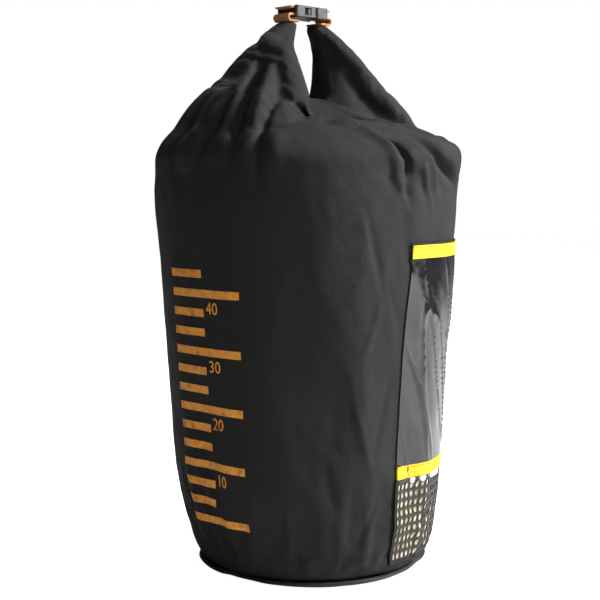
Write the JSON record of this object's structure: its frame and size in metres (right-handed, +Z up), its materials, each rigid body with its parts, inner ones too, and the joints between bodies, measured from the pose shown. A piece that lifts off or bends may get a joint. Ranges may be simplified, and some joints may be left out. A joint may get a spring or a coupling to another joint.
{
  "type": "rope_storage_bag",
  "caption": "Black roll-top rope storage bag, tapered on a round base, with a buckled carry loop, a clear window pocket and a drain mesh",
  "frame": {"origin": "centre of the base, where the bag stands", "axes": "+Z up; +X along the mouth, from the socket's ear to the tongue's ear; +Y to the back"},
  "size_m": [0.2819, 0.282, 0.5117],
  "materials": {
    "black_fabric": "coated plain-weave polyester, satin",
    "black_binding": "ribbed binding tape",
    "clear_film": "clear crinkled film",
    "milky_film": "doubled film edge, milky",
    "yellow_tape": "ribbed tape, folded round the edge and stitched",
    "black_net": "open knitted net",
    "pale_lining": "pale woven lining",
    "orange_print": "transfer print",
    "orange_webbing": "woven webbing",
    "stiffener_plastic": "plain strip",
    "buckle_plastic": "moulded acetal, fine texture"
  },
  "bodies": {
    "bag": {"body_panel": "black_fabric", "base_panel": "black_fabric", "base_binding": "black_binding", "back_seam_tape": "black_binding", "window_film": "clear_film", "film_hem": "milky_film", "window_upper_tape": "yellow_tape", "window_lower_tape": "yellow_tape", "drain_mesh": "black_net", "mesh_lining": "pale_lining", "printed_scale": "orange_print", "rolled_mouth": "black_fabric", "mouth_stiffener": "stiffener_plastic", "near_ear": "black_fabric", "far_ear": "black_fabric", "buckle_socket": "buckle_plastic", "near_webbing": "orange_webbing", "far_webbing": "orange_webbing", "rope_loop": "orange_webbing"},
    "tongue": {"buckle_tongue": "buckle_plastic"},
    "front_catch": {"front_prong": "buckle_plastic"},
    "back_catch": {"back_prong": "buckle_plastic"}
  },
  "joints": [
    {"name": "tongue_slide", "type": "slide", "parent": "bag", "child": "tongue", "axis": [1, 0, 0], "range_m": [0, 0.022], "deforming": ["far_webbing", "front_prong", "back_prong"]},
    {"name": "front_squeeze", "type": "hinge", "parent": "tongue", "child": "front_catch", "pos_m": [0.00236, -0.0087, 0.5069], "axis": [0, 0, -1], "range_deg": [0, 9], "stiffness_Nm_per_rad": 0.05},
    {"name": "back_squeeze", "type": "hinge", "parent": "tongue", "child": "back_catch", "pos_m": [0.00236, 0.0087, 0.5069], "axis": [0, 0, 1], "range_deg": [0, 9], "stiffness_Nm_per_rad": 0.05}
  ],
  "couplings": [
    {"joint": "back_squeeze", "follows": "front_squeeze", "ratio": 1}
  ]
}
